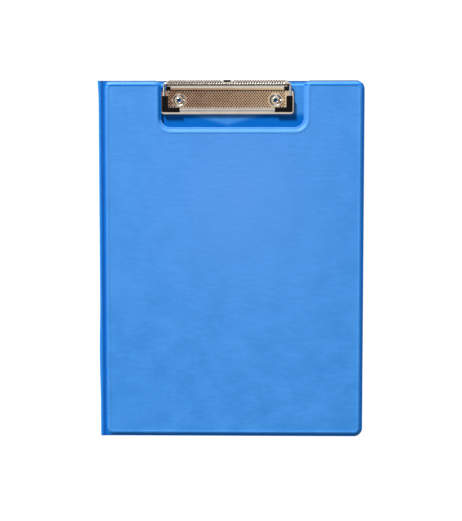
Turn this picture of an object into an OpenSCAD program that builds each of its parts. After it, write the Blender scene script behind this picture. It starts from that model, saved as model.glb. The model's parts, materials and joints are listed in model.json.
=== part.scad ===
// Closed A4 fold-over clipboard: two skinned boards joined by a soft spine, a notch in the cover
// and a sprung wire-bail clip riveted to the back panel.
// Lies flat with the cover up. X across, spine at -X. Y up the page, clip at +Y. Z up from the table.

/* [Boards] */
// Width of each stiffening board, across the page
board_w = 225.3; // [185:0.1:275]
// Height of each stiffening board, up the page
board_h = 310; // [255:1:375]
// Thickness of each stiffening board
board_t = 2.0; // [1.4:0.1:2.6]
// Corner radius of the boards
board_r = 4; // [2:0.5:8]

/* [Skins] */
// Thickness of one sheet of the skin
skin_t = 0.4; // [0.3:0.05:0.5]
// Width of the welded border outside the boards
margin = 3.5; // [2.5:0.1:5]
// Room left between the two closed panels
panel_gap = 0.6; // [0.5:0.1:3]
// Thickness of the pocket film
film_t = 0.3; // [0.15:0.05:0.4]
// Height of the pocket inside the cover
pocket_h = 160; // [60:1:200]

/* [Spine] */
// From the spine's outer face to the cover's board
cover_inset = 6.2; // [5:0.1:8]
// From the spine's outer face to the back panel's board
back_inset = 4.6; // [2.5:0.1:6]
// How far the folded skins sit in from the panels' outer faces
fold_drop = 0.2; // [0.1:0.05:0.3]
// Air left round each fold so that the strip can turn
fold_gap = 0.3; // [0.2:0.05:0.4]
// Width of the weld groove beside the cover's board
groove_w = 1.1; // [0.6:0.1:1.6]

/* [Notch] */
// Room between the left grip and the notch's welded edge
notch_gap = 0.5; // [0.4:0.05:0.8]
// Room between the right grip and the notch's welded edge
notch_room = 9.8; // [6:0.1:14]
// Room below the clip's plate
notch_below = 11; // [8:0.1:30]
// Inner corner radius of the notch
notch_r = 8; // [4:0.5:10]

/* [Clip] */
// Clip centre to the right of the object's centre
clip_x = -3.5; // [-4:0.1:0]
// Width of the clip's plate
clip_w = 119; // [98:0.1:144]
// Height of the clip, from the tube's back to the plate's lower edge
clip_h = 29.9; // [28:0.1:38]
// Thickness of the clip's sheet metal
sheet_t = 0.6; // [0.5:0.05:0.7]
// Outside diameter of the rolled tube
tube_d = 5; // [4.8:0.1:5.6]
// How far each ear of the plate stands out past the tube's end
ear_w = 6.3; // [6:0.1:6.6]
// Length of the folded-down flange, from the tube's axis to its lower edge
flange_l = 6.1; // [5:0.1:7]
// From the plate's lower edge to the raised pad
lip_h = 6.6; // [5:0.1:7]
// From the tube's end to the side of the pad
pad_in = 0.9; // [0.5:0.1:4]
// Rise of the pad above the plate
pad_rise = 0.6; // [0.4:0.05:0.8]
// Gap between the flange's edge and the pad
pad_gap = 0.5; // [0.3:0.05:1]
// Corner radius of the plate
plate_r = 2.7; // [1:0.1:4]
// Width of the hanging slot in the tube
slot_w = 7; // [4:0.5:12]
// Length of the tube's drawn-in ends, which guide the wire
collar_l = 1.5; // [1:0.1:3]

/* [Rivets] */
// From the plate's side edge to a rivet
rivet_in = 16.8; // [15:0.1:30]
// Rivets below the middle of the pad
rivet_down = 1; // [0:0.1:1.2]
// Radius of a rivet's shank
rivet_r = 2; // [1.6:0.1:2.2]
// Radius of a rivet's head
head_r = 4.5; // [3.5:0.1:6]
// Radius of a rivet's rolled end
roll_r = 2.7; // [2.5:0.1:3]
// Height of a rivet's rolled end
roll_h = 0.8; // [0.5:0.05:1]
// Radius of the hollow in a rivet's end
hollow_r = 1.45; // [0.8:0.05:1.5]
// Radius of the sunk ring round a rivet
dimple_r = 5.2; // [4.5:0.1:5.6]
// Radial clearance of a rivet in its holes
rivet_clear = 0.05; // [0.02:0.01:0.2]

/* [Bail] */
// Diameter of the bail's wire
wire_d = 2.2; // [1.8:0.05:2.3]
// Centre-line radius of the bends at the tube's ends
bend_r = 2.5; // [2.3:0.1:2.6]
// From the plate's lower edge up to the bail's lower run
run_up = 4.1; // [3.8:0.1:5]
// Centre-line radius of the lower bends
bail_r = 2.5; // [1.8:0.1:4]
// Length of wire inside each end of the tube
tail_l = 17; // [14:0.5:30]
// Radial running clearance of the wire in the tube's ends
wire_clear = 0.05; // [0.02:0.01:0.1]

/* [Springs] */
// Wire diameter of a torsion spring
spring_wire = 0.45; // [0.3:0.05:0.5]
// Turns of a torsion spring
spring_turns = 12; // [8:1:16]
// Length of a torsion spring
spring_l = 11; // [9:0.5:12]

/* [Grips] */
// Width of a grip's upright leg
grip_w = 5.4; // [5:0.1:6.5]
// Length of a grip's upright leg
grip_h = 14.4; // [10:0.1:18]
// Length of a grip's lower leg
grip_l = 15.8; // [11:0.1:24]
// Height of a grip's lower leg, up the page
grip_b = 3.9; // [3.6:0.1:5]
// Thickness of a grip
grip_t = 3.3; // [3:0.1:4]
// Wall of the grip outside the wire
grip_wall = 0.9; // [0.7:0.05:1.1]
// Corner radius of a grip
grip_r = 2.4; // [1:0.1:3]

/* [Hidden] */
$fn = 64;
panel_t = board_t + 2 * skin_t;
total_t = 2 * panel_t + panel_gap;
total_w = cover_inset + board_w + margin;
total_h = board_h + 2 * margin;
top_y = total_h / 2;
spine_x = -total_w / 2;
pivot_x = spine_x + skin_t;
low_z = fold_drop + skin_t;
high_z = total_t - fold_drop - skin_t;
cover_z = panel_t + panel_gap;
cover_x0 = spine_x + cover_inset;
back_x0 = spine_x + back_inset;
groove_x = cover_x0 - skin_t - groove_w;
pocket_w = board_w - 10;
tip_r = 0.5;
tube_l = clip_w - 2 * ear_w;
pad_w = tube_l - 2 * pad_in;
rivet_span = clip_w - 2 * rivet_in;
bail_w = tube_l + 2 * bend_r;
tube_r = tube_d / 2;
tube_in = tube_r - sheet_t;
axis_y = top_y - tube_r;
axis_z = panel_t + tube_r;
plate_y0 = top_y - clip_h;
flange_y0 = axis_y - flange_l;
ear_y1 = flange_y0;
pad_y1 = flange_y0 - pad_gap;
pad_y0 = plate_y0 + lip_h;
rivet_y = (pad_y0 + pad_y1) / 2 - rivet_down;
wire_r = wire_d / 2;
run_y = plate_y0 + run_up;
grip_out = bail_w / 2 + wire_r + grip_wall;
notch_x0 = clip_x - grip_out - notch_gap;
notch_x1 = clip_x + grip_out + notch_room;
notch_x = (notch_x0 + notch_x1) / 2;
notch_w = notch_x1 - notch_x0;
notch_d = clip_h + notch_below;
grip_z0 = axis_z - wire_r - 0.4;
coil_r = (wire_r + wire_clear + tube_in) / 2;
sec_n = 6;
turn_n = 12;

// ---- flat outlines ----

// the piece between a square corner at [x, y] and its arc; dx, dy point into the material
module corner_cut(x, y, dx, dy, r) {
  translate([x + dx * r, y + dy * r])
    difference() {
      translate([dx > 0 ? -r - 0.01 : 0, dy > 0 ? -r - 0.01 : 0])
        square(r + 0.01);
      circle(r);
    }
}

// rectangle with rl at its left corners and rr at its right ones
module outline(x0, x1, y0, y1, rl, rr) {
  difference() {
    translate([x0, y0]) square([x1 - x0, y1 - y0]);
    if (rl > 0) {
      corner_cut(x0, y0, 1, 1, rl);
      corner_cut(x0, y1, 1, -1, rl);
    }
    if (rr > 0) {
      corner_cut(x1, y0, -1, 1, rr);
      corner_cut(x1, y1, -1, -1, rr);
    }
  }
}

// a board's outline grown by g on every side
module board2d(x0, g) {
  outline(x0 - g, x0 + board_w + g, -board_h / 2 - g, board_h / 2 + g, board_r + g, board_r + g);
}

// the welded outline of a panel whose spine side ends square at x0
module welded2d(x0, board_x) {
  outline(x0, board_x + board_w + margin, -top_y, top_y, 0, board_r + margin);
}

// what the notch takes out of a cover sheet grown by g round its board
module notch2d(g) {
  w = notch_w / 2 + margin - g;
  r = notch_r + margin - g;
  t = tip_r + g;
  y0 = top_y - notch_d - margin + g;
  y1 = board_h / 2 + g;
  difference() {
    translate([notch_x - w, y0]) square([2 * w, notch_d + 2 * margin]);
    corner_cut(notch_x - w, y0, 1, 1, r);
    corner_cut(notch_x + w, y0, -1, 1, r);
  }
  corner_cut(notch_x - w, y1, -1, -1, t);
  corner_cut(notch_x + w, y1, 1, -1, t);
}

module cover2d(g) {
  difference() {
    board2d(cover_x0, g);
    notch2d(g);
  }
}

module cover_welded2d(x0) {
  difference() {
    welded2d(x0, cover_x0);
    notch2d(margin);
  }
}

module slab(x0, x1, y0, y1, z0, z1) {
  translate([x0, y0, z0]) cube([x1 - x0, y1 - y0, z1 - z0]);
}

module layer(z0, z1) {
  translate([0, 0, z0]) linear_extrude(z1 - z0) children();
}

// round space a fold's strip turns in
module fold_space(z) {
  translate([pivot_x, 0, z]) rotate([90, 0, 0])
    cylinder(r = skin_t + fold_gap, h = total_h + 2, center = true);
}

module at_rivets() {
  for (s = [-1, 1]) translate([clip_x + s * rivet_span / 2, rivet_y, 0]) children();
}

// ---- back panel ----

module back_board() {
  color([0.62, 0.6, 0.56]) difference() {
    layer(skin_t, skin_t + board_t) board2d(back_x0, 0);
    at_rivets() cylinder(r = rivet_r + rivet_clear, h = 20, center = true);
  }
}

module back_outer_skin() {
  mid = panel_t / 2;
  color([0.27, 0.56, 0.88]) difference() {
    union() {
      layer(0, mid) board2d(back_x0, skin_t);
      layer(mid - skin_t, mid) welded2d(back_x0 - skin_t, back_x0);
      slab(pivot_x, back_x0, -top_y, top_y, fold_drop, low_z);
    }
    layer(skin_t, mid + 1) board2d(back_x0, 0);
    fold_space(low_z);
    at_rivets() cylinder(r = head_r + rivet_clear, h = 2 * skin_t, center = true);
  }
}

module back_inner_skin() {
  mid = panel_t / 2;
  wall_x = back_x0 - skin_t;
  color([0.27, 0.56, 0.88]) difference() {
    union() {
      layer(mid, panel_t) board2d(back_x0, skin_t);
      layer(mid, mid + skin_t) welded2d(wall_x - skin_t, back_x0);
      slab(wall_x - skin_t, wall_x, -top_y, top_y, low_z, mid + skin_t);
      slab(pivot_x, wall_x, -top_y, top_y, low_z, low_z + skin_t);
    }
    layer(0, panel_t - skin_t) board2d(back_x0, 0);
    fold_space(low_z);
    at_rivets() cylinder(r = rivet_r + rivet_clear, h = 20, center = true);
  }
}

// ---- spine ----

// the strip's whole section, two sheets thick, rounded on its two fold axes
module spine_bar() {
  slab(spine_x, spine_x + 2 * skin_t, -top_y, top_y, low_z, high_z);
  for (z = [low_z, high_z])
    translate([pivot_x, 0, z]) rotate([90, 0, 0]) cylinder(r = skin_t, h = total_h, center = true);
}

module spine_outer_skin() {
  color([0.2, 0.48, 0.83]) intersection() {
    spine_bar();
    slab(spine_x - 1, pivot_x, -top_y - 1, top_y + 1, -1, total_t + 1);
  }
}

module spine_inner_skin() {
  color([0.24, 0.52, 0.86]) intersection() {
    spine_bar();
    slab(pivot_x, pivot_x + 1, -top_y - 1, top_y + 1, -1, total_t + 1);
  }
}

// ---- cover ----

module cover_board() {
  color([0.62, 0.6, 0.56]) layer(cover_z + skin_t, cover_z + skin_t + board_t) cover2d(0);
}

module cover_outer_skin() {
  mid = cover_z + panel_t / 2;
  color([0.31, 0.6, 0.91]) difference() {
    union() {
      layer(mid, total_t) cover2d(skin_t);
      layer(mid, mid + skin_t) cover_welded2d(groove_x - skin_t);
      slab(groove_x - skin_t, groove_x, -top_y, top_y, mid, high_z + skin_t);
      slab(pivot_x, groove_x, -top_y, top_y, high_z, high_z + skin_t);
    }
    layer(mid - 1, total_t - skin_t) cover2d(0);
    fold_space(high_z);
  }
}

module cover_inner_skin() {
  mid = cover_z + panel_t / 2;
  wall_x = groove_x - skin_t;
  color([0.31, 0.6, 0.91]) difference() {
    union() {
      layer(cover_z, mid) cover2d(skin_t);
      layer(mid - skin_t, mid) cover_welded2d(wall_x - skin_t);
      slab(wall_x - skin_t, wall_x, -top_y, top_y, mid - skin_t, high_z);
      slab(pivot_x, wall_x, -top_y, top_y, high_z - skin_t, high_z);
    }
    layer(cover_z + skin_t, mid + 1) cover2d(0);
    fold_space(high_z);
  }
}

module cover_pocket() {
  x0 = cover_x0 + (board_w - pocket_w) / 2;
  y0 = -board_h / 2 + 4;
  color([0.75, 0.85, 0.95, 0.6]) layer(cover_z - film_t, cover_z)
    outline(x0, x0 + pocket_w, y0, y0 + pocket_h, board_r, board_r);
}

// ---- clip ----

module tube_bar(r, x0, x1) {
  translate([clip_x + x0, axis_y, axis_z]) rotate([0, 90, 0]) cylinder(r = r, h = x1 - x0);
}

module clip_plate() {
  z0 = panel_t;
  z1 = panel_t + sheet_t;
  z2 = z1 + pad_rise;
  hw = pad_w / 2;
  color([0.74, 0.7, 0.64]) difference() {
    union() {
      // flat plate with its ears
      layer(z0, z1) outline(clip_x - clip_w / 2, clip_x + clip_w / 2, plate_y0, ear_y1, plate_r, plate_r);
      // raised pad, pressed up from below
      difference() {
        layer(z0, z2) outline(clip_x - hw, clip_x + hw, pad_y0, pad_y1, 1, 1);
        at_rivets() translate([0, 0, z1]) cylinder(r = dimple_r - sheet_t, h = 5);
      }
      // sheet below the tube, and the flange folded back down onto it
      slab(clip_x - tube_l / 2, clip_x + tube_l / 2, ear_y1 - 1, axis_y, z0, z1);
      slab(clip_x - tube_l / 2, clip_x + tube_l / 2, flange_y0, axis_y - tube_r * 0.8, z0, z1 + sheet_t);
      slab(clip_x - tube_l / 2, clip_x + tube_l / 2, axis_y - tube_r, axis_y, z0, axis_z);
      tube_bar(tube_r, -tube_l / 2, tube_l / 2);
    }
    // hollow below the pad
    difference() {
      layer(z0 - 1, z2 - sheet_t)
        outline(clip_x - hw + sheet_t, clip_x + hw - sheet_t, pad_y0 + sheet_t, pad_y1 - sheet_t, 0.4, 0.4);
      at_rivets() cylinder(r = dimple_r, h = 20, center = true);
    }
    at_rivets() cylinder(r = rivet_r + rivet_clear, h = 20, center = true);
    // inside of the tube, tight on the wire at its two ends
    tube_bar(tube_in, -tube_l / 2 + collar_l, tube_l / 2 - collar_l);
    tube_bar(wire_r + wire_clear, -tube_l, tube_l);
    // slot to hang the board by
    slab(clip_x - slot_w / 2, clip_x + slot_w / 2, axis_y + tube_r * 0.45, top_y + 1, axis_z, axis_z + tube_d);
    // relief notches at the ends of the flange
    for (s = [-1, 1])
      translate([clip_x + s * (tube_l / 2 - 1), flange_y0 + 1.6, z1 + 1]) cube([3, 1.8, 4], center = true);
  }
}

module rivet(s) {
  color([0.8, 0.78, 0.74]) translate([clip_x + s * rivet_span / 2, rivet_y, 0]) difference() {
    union() {
      cylinder(r = head_r, h = skin_t);
      cylinder(r = rivet_r, h = panel_t + sheet_t + roll_h);
      translate([0, 0, panel_t + sheet_t]) cylinder(r = roll_r, h = roll_h);
    }
    translate([0, 0, panel_t - skin_t]) cylinder(r = hollow_r, h = 10);
  }
}

module rivet_left() {
  rivet(-1);
}

module rivet_right() {
  rivet(1);
}

// ---- springs inside the tube ----

function coil_at(i, n, s) =
  let (a = 360 * spring_turns * i / n, x = spring_l * i / n)
  [s * x, coil_r * cos(a), coil_r * sin(a)];

function ring_at(i, n, s) =
  let (a = 360 * spring_turns * i / n)
  [for (k = [0 : sec_n - 1])
    let (b = 360 * k / sec_n, q = coil_r + spring_wire / 2 * cos(b))
    coil_at(i, n, s) + [s * spring_wire / 2 * sin(b), (q - coil_r) * cos(a), (q - coil_r) * sin(a)]];

module spring(s) {
  n = spring_turns * turn_n;
  pts = [for (i = [0 : n]) each ring_at(i, n, s)];
  caps = [[for (k = [0 : sec_n - 1]) k], [for (k = [0 : sec_n - 1]) n * sec_n + sec_n - 1 - k]];
  sides = [for (i = [0 : n - 1]) for (k = [0 : sec_n - 1])
    let (a = i * sec_n + k, b = i * sec_n + (k + 1) % sec_n)
    each [[a, a + sec_n, b + sec_n], [a, b + sec_n, b]]];
  faces = [for (f = concat(caps, sides)) s < 0 ? f : [for (k = [len(f) - 1 : -1 : 0]) f[k]]];
  x0 = s * (tube_l / 2 - collar_l - 0.8 - spring_l);
  color([0.45, 0.45, 0.47]) translate([clip_x + x0, axis_y, axis_z]) {
    polyhedron(points = pts, faces = faces, convexity = 20);
    // leg that bears on the inside of the tube
    translate([s * spring_wire / 2, coil_r, 0]) rotate([0, 90, 0]) rotate([0, 0, 0])
      translate([0, 0, -spring_wire / 2]) rotate([-90, 0, 0]) cylinder(r = spring_wire / 2, h = tube_in - coil_r + 0.15);
  }
}

module torsion_spring_left() {
  spring(-1);
}

module torsion_spring_right() {
  spring(1);
}

// ---- bail ----

// quarter bend of the wire, centred on [x, y], turning from +X towards +Y
module bend(x, y, r, a) {
  translate([x, y, axis_z]) rotate([0, 0, a]) rotate_extrude(angle = 90) translate([r, 0]) circle(wire_r);
}

module wire_x(x0, x1, y) {
  translate([x0, y, axis_z]) rotate([0, 90, 0]) cylinder(r = wire_r, h = x1 - x0);
}

module wire_y(x, y0, y1) {
  translate([x, y0, axis_z]) rotate([-90, 0, 0]) cylinder(r = wire_r, h = y1 - y0);
}

module clamp_wire() {
  hx = bail_w / 2;
  color([0.8, 0.79, 0.76]) union() {
    wire_x(clip_x - tube_l / 2, clip_x - tube_l / 2 + tail_l, axis_y);
    wire_x(clip_x + tube_l / 2 - tail_l, clip_x + tube_l / 2, axis_y);
    bend(clip_x - tube_l / 2, axis_y - bend_r, bend_r, 90);
    bend(clip_x + tube_l / 2, axis_y - bend_r, bend_r, 0);
    wire_y(clip_x - hx, run_y + bail_r, axis_y - bend_r);
    wire_y(clip_x + hx, run_y + bail_r, axis_y - bend_r);
    bend(clip_x - hx + bail_r, run_y + bail_r, bail_r, 180);
    bend(clip_x + hx - bail_r, run_y + bail_r, bail_r, 270);
    wire_x(clip_x - hx + bail_r, clip_x + hx - bail_r, run_y);
  }
}

module grip2d(s) {
  y0 = run_y - grip_b / 2;
  difference() {
    union() {
      translate([s > 0 ? grip_out - grip_l : -grip_out, y0]) square([grip_l, grip_b]);
      translate([s > 0 ? grip_out - grip_w : -grip_out, y0]) square([grip_w, grip_h]);
    }
    corner_cut(s * grip_out, y0, -s, 1, grip_r);
    corner_cut(s * grip_out, y0 + grip_h, -s, -1, 1);
    corner_cut(s * (grip_out - grip_w), y0 + grip_h, s, -1, 1);
    corner_cut(s * (grip_out - grip_l), y0, s, 1, 1);
    corner_cut(s * (grip_out - grip_l), y0 + grip_b, s, -1, 1);
  }
}

module grip(s) {
  color([0.07, 0.07, 0.08]) difference() {
    translate([clip_x, 0, 0]) layer(grip_z0, grip_z0 + grip_t) grip2d(s);
    clamp_wire();
  }
}

module grip_left() {
  grip(-1);
}

module grip_right() {
  grip(1);
}

back_board();
back_outer_skin();
back_inner_skin();
spine_outer_skin();
spine_inner_skin();
cover_board();
cover_outer_skin();
cover_inner_skin();
cover_pocket();
clip_plate();
rivet_left();
rivet_right();
torsion_spring_left();
torsion_spring_right();
clamp_wire();
grip_left();
grip_right();
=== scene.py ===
import bpy
import bmesh
import json
from math import atan2, cos, radians, sin
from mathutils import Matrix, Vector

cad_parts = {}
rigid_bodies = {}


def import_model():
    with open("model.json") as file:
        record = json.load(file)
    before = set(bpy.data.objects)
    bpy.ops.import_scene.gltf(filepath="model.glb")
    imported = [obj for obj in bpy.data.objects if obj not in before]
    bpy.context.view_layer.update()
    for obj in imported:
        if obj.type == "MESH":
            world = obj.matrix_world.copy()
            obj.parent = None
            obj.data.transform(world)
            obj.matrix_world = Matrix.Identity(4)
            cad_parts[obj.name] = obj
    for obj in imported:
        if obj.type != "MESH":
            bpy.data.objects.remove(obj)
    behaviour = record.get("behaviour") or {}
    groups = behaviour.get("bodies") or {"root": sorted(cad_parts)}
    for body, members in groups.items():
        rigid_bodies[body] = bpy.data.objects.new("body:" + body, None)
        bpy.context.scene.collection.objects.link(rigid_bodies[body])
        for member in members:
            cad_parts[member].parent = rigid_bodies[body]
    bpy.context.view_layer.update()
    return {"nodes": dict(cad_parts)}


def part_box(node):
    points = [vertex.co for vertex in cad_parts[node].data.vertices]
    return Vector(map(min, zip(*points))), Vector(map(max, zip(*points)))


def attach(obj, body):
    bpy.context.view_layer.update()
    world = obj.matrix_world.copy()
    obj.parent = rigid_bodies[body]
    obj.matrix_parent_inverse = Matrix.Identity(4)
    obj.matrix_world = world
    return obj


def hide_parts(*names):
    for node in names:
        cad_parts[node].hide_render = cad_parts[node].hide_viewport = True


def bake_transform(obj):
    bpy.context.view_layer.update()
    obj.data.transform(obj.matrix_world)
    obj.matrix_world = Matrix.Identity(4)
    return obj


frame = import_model()
mm = 0.001

# ---- Boards ----
# Two sheets of grey board stiffen the folder, one in the back panel and one in the cover. Each is
# closed in between its skins, so only its pulp colour and fibres are given here.


def start_material(name):
    """New material with its Principled shader and an Object coordinate to build on."""
    mat = bpy.data.materials.new(name)
    mat.use_nodes = True
    tree = mat.node_tree
    return mat, tree, tree.nodes["Principled BSDF"], tree.nodes.new("ShaderNodeTexCoord")


def noise(tree, coords, scale, detail, rough):
    """Even noise from 0 to 1; the scale is in patches to the metre."""
    node = tree.nodes.new("ShaderNodeTexNoise")
    node.inputs["Scale"].default_value = scale
    node.inputs["Detail"].default_value = detail
    node.inputs["Roughness"].default_value = rough
    tree.links.new(coords, node.inputs["Vector"])
    return node.outputs["Fac"]


def two_colours(tree, mask, low, high, start=0.3, end=0.7):
    """Two colours that meet as the mask goes from start to end."""
    ramp = tree.nodes.new("ShaderNodeValToRGB")
    ramp.color_ramp.elements[0].position = start
    ramp.color_ramp.elements[1].position = end
    ramp.color_ramp.elements[0].color = (*low, 1)
    ramp.color_ramp.elements[1].color = (*high, 1)
    tree.links.new(mask, ramp.inputs["Fac"])
    return ramp.outputs["Color"]


def bump(tree, height, depth, strength=1.0, normal=None):
    """Surface normal for a height of 0 to 1 that stands for depth, on top of another bump's normal."""
    node = tree.nodes.new("ShaderNodeBump")
    node.inputs["Strength"].default_value = strength
    node.inputs["Distance"].default_value = depth
    tree.links.new(height, node.inputs["Height"])
    if normal is not None:
        tree.links.new(normal, node.inputs["Normal"])
    return node.outputs["Normal"]


def paint_node(node, mat):
    """Puts a material on a piece that comes from the frame."""
    piece = frame["nodes"][node]
    piece.data.materials.clear()
    piece.data.materials.append(mat)


board_mat, tree, shader, coord = start_material("grey_board")
pulp = noise(tree, coord.outputs["Object"], 900, 5, 0.7)
tree.links.new(two_colours(tree, pulp, (0.30, 0.27, 0.23), (0.47, 0.44, 0.39)), shader.inputs["Base Color"])
tree.links.new(bump(tree, pulp, 0.00005), shader.inputs["Normal"])
shader.inputs["Roughness"].default_value = 0.9
paint_node("back_board", board_mat)
paint_node("cover_board", board_mat)

# ---- Back panel skins ----
# Two blue vinyl sheets are laid over the board and welded together all round it. The weld leaves a
# flat border, then the sheet climbs over the board's edge and stands a little proud along it.


def clear_selection():
    if bpy.context.object and bpy.context.object.mode != "OBJECT":
        bpy.ops.object.mode_set(mode="OBJECT")
    bpy.ops.object.select_all(action="DESELECT")


def pick(piece, kind, test):
    """In edit mode, selects the vertices, edges or faces that pass the test."""
    bpy.ops.mesh.select_mode(type=kind)
    bpy.ops.mesh.select_all(action="DESELECT")
    mesh = bmesh.from_edit_mesh(piece.data)
    for part in {"VERT": mesh.verts, "EDGE": mesh.edges, "FACE": mesh.faces}[kind]:
        if test(part):
            part.select_set(True)
    mesh.select_flush_mode()
    bmesh.update_edit_mesh(piece.data)


def middle(part):
    return sum((v.co for v in part.verts), part.verts[0].co * 0) / len(part.verts)


def make_shape_real(piece):
    """Leaves the piece's object at the origin with its place in its mesh."""
    clear_selection()
    piece.select_set(True)
    bpy.context.view_layer.objects.active = piece
    bpy.ops.object.transform_apply(location=True, rotation=True, scale=True)


def apply_modifier(piece, kind, **values):
    clear_selection()
    piece.select_set(True)
    bpy.context.view_layer.objects.active = piece
    mod = piece.modifiers.new(kind.lower(), kind)
    for key, value in values.items():
        setattr(mod, key, value)
    bpy.ops.object.modifier_apply(modifier=mod.name)


def close_up(piece, angle=40):
    """Merges doubles, turns every face outwards and shades it."""
    clear_selection()
    piece.select_set(True)
    bpy.context.view_layer.objects.active = piece
    bpy.ops.object.mode_set(mode="EDIT")
    bpy.ops.mesh.select_all(action="SELECT")
    bpy.ops.mesh.remove_doubles(threshold=0.000004)
    bpy.ops.mesh.normals_make_consistent(inside=False)
    bpy.ops.object.mode_set(mode="OBJECT")
    bpy.ops.object.shade_smooth_by_angle(angle=radians(angle))
    apply_modifier(piece, "WEIGHTED_NORMAL", keep_sharp=True)


def outline_sheet(name, x0, x1, y0, y1, z, r_left, r_right, square_left=False, notch=None):
    """Flat face with rounded corners; notch is (left, right, bottom, inner radius, tip radius)."""
    clear_selection()
    bpy.ops.mesh.primitive_plane_add(size=1, location=((x0 + x1) / 2, (y0 + y1) / 2, z))
    piece = bpy.context.object
    piece.name = piece.data.name = name
    piece.scale = (x1 - x0, y1 - y0, 1)
    make_shape_real(piece)
    bpy.ops.object.mode_set(mode="EDIT")

    def near(a, b):
        return abs(a - b) < 0.002 * mm

    def round_corners(test, radius, steps, bulge=0.5):
        pick(piece, "VERT", test)
        bpy.ops.mesh.bevel(
            offset=radius, offset_type="OFFSET", segments=steps, affect="VERTICES", profile=bulge
        )

    if notch:
        n0, n1, nb, r_in, r_tip = notch
        for at, along in (((n0, 0, z), (1, 0, 0)), ((n1, 0, z), (1, 0, 0)), ((0, nb, z), (0, 1, 0))):
            bpy.ops.mesh.select_all(action="SELECT")
            bpy.ops.mesh.bisect(plane_co=at, plane_no=along)
        pick(piece, "FACE", lambda f: n0 < middle(f).x < n1 and middle(f).y > nb)
        bpy.ops.mesh.delete(type="FACE")
        bpy.ops.mesh.select_all(action="SELECT")
        bpy.ops.mesh.dissolve_faces()
        bpy.ops.mesh.select_all(action="SELECT")
        bpy.ops.mesh.dissolve_limited(angle_limit=radians(1))
        round_corners(lambda v: near(v.co.y, nb), r_in, 10)
        round_corners(lambda v: near(v.co.y, y1) and (near(v.co.x, n0) or near(v.co.x, n1)), r_tip, 8)
    for x, radius, bulge in ((x0, r_left, 1.0 if square_left else 0.5), (x1, r_right, 0.5)):
        round_corners(lambda v: near(v.co.x, x) and (near(v.co.y, y0) or near(v.co.y, y1)), radius, 8, bulge)
    bpy.ops.object.mode_set(mode="OBJECT")
    return piece


# A skin's section, from the weld to the face: how far in from the border's edge in mm, how much of
# the climb to the face, and how much of the ridge that the board's edge presses up.
cover_profile = (
    (0.9, 0.10, 0), (1.5, 0.30, 0), (1.95, 0.52, 0), (2.4, 0.76, 0), (2.85, 0.95, 0), (3.3, 1, 0.4),
    (3.75, 1, 0.9), (4.1, 1, 1), (4.6, 1, 0.7), (5.1, 1, 0.25), (5.7, 1, 0),
)
back_profile = (
    (2.0, 0.03, 0), (2.25, -0.12, 0), (2.55, -0.12, 0), (2.8, 0.08, 0), (3.1, 0.4, 0), (3.5, 0.78, 0),
    (3.9, 0.98, 0.2), (4.3, 1, 0.9), (4.7, 1, 0.8), (5.2, 1, 0.2), (5.6, 1, 0),
)
weld_border, half_weld, skin_thick = 3.5 * mm, 0.4 * mm, 0.38 * mm
board_corner, notch_inner, notch_tip = 4 * mm, 8 * mm, 5.9 * mm
border_edge = ((0.7, 0.05), (0.35, 0), (0.15, -0.12), (0.0, -0.3))


def welded_skin(name, board, middle_z, top_z, ridge, profile, notch=None):
    """One skin of a panel, pressed up or down over a board (x0, x1, y0, y1), with its border on the weld
    plane middle_z and its face at top_z. The notch is (left, right, bottom)."""
    up = 1 if top_z > middle_z else -1
    flange = middle_z + up * half_weld

    def ring(d, z, square):
        """The outline at d in from the border's edge; past the border it keeps clear of the spine."""
        grow = weld_border - d
        spine_room = 1.5 * mm if d > 0.8 * mm else 0
        cut = None
        if notch:
            n0, n1, nb = notch
            wide = 0.7 * mm if d > 0.5 * mm else 0
            cut = (n0 - d, n1 + d + wide, nb - d - wide, notch_inner + d, notch_tip - d)
        return outline_sheet(
            name, board[0] - grow + spine_room, board[1] + grow, board[2] - grow, board[3] + grow, z,
            board_corner + grow, board_corner + grow, square, cut,
        )

    last_d, last_z = profile[0][0], profile[0][1] * (top_z - flange)
    skin = ring(last_d * mm, flange + last_z, False)
    bpy.ops.object.mode_set(mode="EDIT")
    pick(skin, "FACE", lambda f: True)
    for d, rise, swell in profile[1:]:
        z = rise * (top_z - flange) + swell * ridge
        bpy.ops.mesh.inset(thickness=(d - last_d) * mm, depth=z - last_z, use_even_offset=True)
        last_d, last_z = d, z
    bpy.ops.object.mode_set(mode="OBJECT")
    for d, z in border_edge:
        known = len(skin.data.vertices)
        loop = ring(d * mm, flange + up * z * mm, True)
        loop.select_set(True)
        skin.select_set(True)
        bpy.context.view_layer.objects.active = skin
        bpy.ops.object.join()
        bpy.ops.object.mode_set(mode="EDIT")
        pick(skin, "FACE", lambda f: all(v.index >= known for v in f.verts))
        bpy.ops.mesh.delete(type="ONLY_FACE")
        pick(skin, "EDGE", lambda e: len(e.link_faces) < 2)
        bpy.ops.mesh.bridge_edge_loops()
        bpy.ops.mesh.select_all(action="SELECT")
        bpy.ops.mesh.normals_make_consistent(inside=False)
        bpy.ops.object.mode_set(mode="OBJECT")
    big = max(skin.data.polygons, key=lambda f: f.area)
    if big.normal.z * up < 0:
        skin.data.flip_normals()
    apply_modifier(
        skin, "SOLIDIFY", thickness=skin_thick, offset=-1.0, use_even_offset=True, use_rim=True
    )
    close_up(skin)
    return skin


b_low, b_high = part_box("back_board")
c_low, c_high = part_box("cover_board")
back_field = (b_low[0], b_high[0], b_low[1], b_high[1])
back_mid = (b_low[2] + b_high[2]) / 2
back_liner = welded_skin(
    "back_liner", back_field, back_mid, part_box("back_inner_skin")[1][2], 0.14 * mm, back_profile
)
back_skin = welded_skin("back_skin", back_field, back_mid, 0.0, 0.0, cover_profile)


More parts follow.
